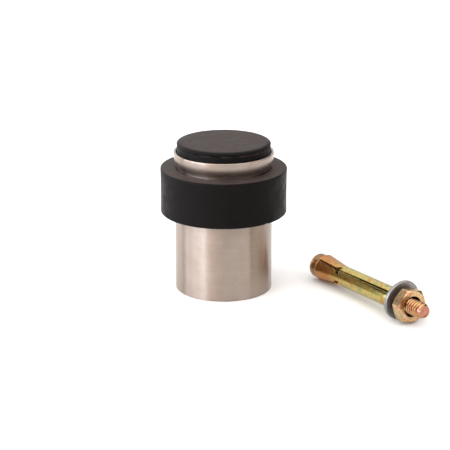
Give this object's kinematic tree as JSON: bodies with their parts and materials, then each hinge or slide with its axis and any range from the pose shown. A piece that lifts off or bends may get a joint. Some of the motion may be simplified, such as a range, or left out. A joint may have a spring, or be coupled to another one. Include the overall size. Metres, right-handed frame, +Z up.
{
  "type": "door stop",
  "caption": "Floor door stop: steel tube post with a flared mouth, rubber bumper ring, rubber cap plug, and its sleeve anchor lying beside it.",
  "frame": {"origin": "centre of the bolt hole on the post's underside, at floor level", "axes": "+Z up along the post; -Y towards the front; the anchor lies at +X"},
  "size_m": [0.0797, 0.0588, 0.047],
  "materials": {
    "stainless_steel": "satin, brushed round the tube",
    "base_steel": "plain turned",
    "bumper_rubber": "moulded, matt",
    "plug_rubber": "moulded, matt, dusty top",
    "yellow_zinc_stud": "steel, zinc plated and yellow chromated",
    "yellow_zinc_sleeve": "steel, zinc plated and yellow chromated",
    "grey_zinc_washer": "steel, dull zinc plated",
    "yellow_zinc_nut": "steel, zinc plated and pale yellow chromated"
  },
  "bodies": {
    "post": {"body_tube": "stainless_steel", "base_disc": "base_steel"},
    "bumper": {"bumper_ring": "bumper_rubber"},
    "plug": {"top_plug": "plug_rubber"},
    "anchor": {"anchor_stud": "yellow_zinc_stud", "anchor_sleeve": "yellow_zinc_sleeve"},
    "washer": {"anchor_washer": "grey_zinc_washer"},
    "nut": {"anchor_nut": "yellow_zinc_nut"}
  },
  "joints": [
    {"name": "bumper_turn", "type": "hinge", "parent": "post", "child": "bumper", "pos_m": [0, 0, 0.0318], "axis": [0, 0, 1], "continuous": true},
    {"name": "plug_pull", "type": "slide", "parent": "post", "child": "plug", "axis": [0, 0, 1], "range_m": [0, 0.025]},
    {"name": "anchor_lift", "type": "slide", "parent": "post", "child": "anchor", "axis": [0, 0, 1], "range_m": [0, 0.06]},
    {"name": "washer_slide", "type": "slide", "parent": "anchor", "child": "washer", "axis": [0.5267, -0.8495, 0.0293], "range_m": [0, 0.00899]},
    {"name": "nut_spin", "type": "hinge", "parent": "washer", "child": "nut", "pos_m": [0.0527, -0.0291, 0.00547], "axis": [0.5267, -0.8495, 0.0293], "range_deg": [0, 3060]}
  ],
  "couplings": [
    {"joint": "nut_spin", "follows": "washer_slide", "rad_per_m": 5936.9}
  ]
}
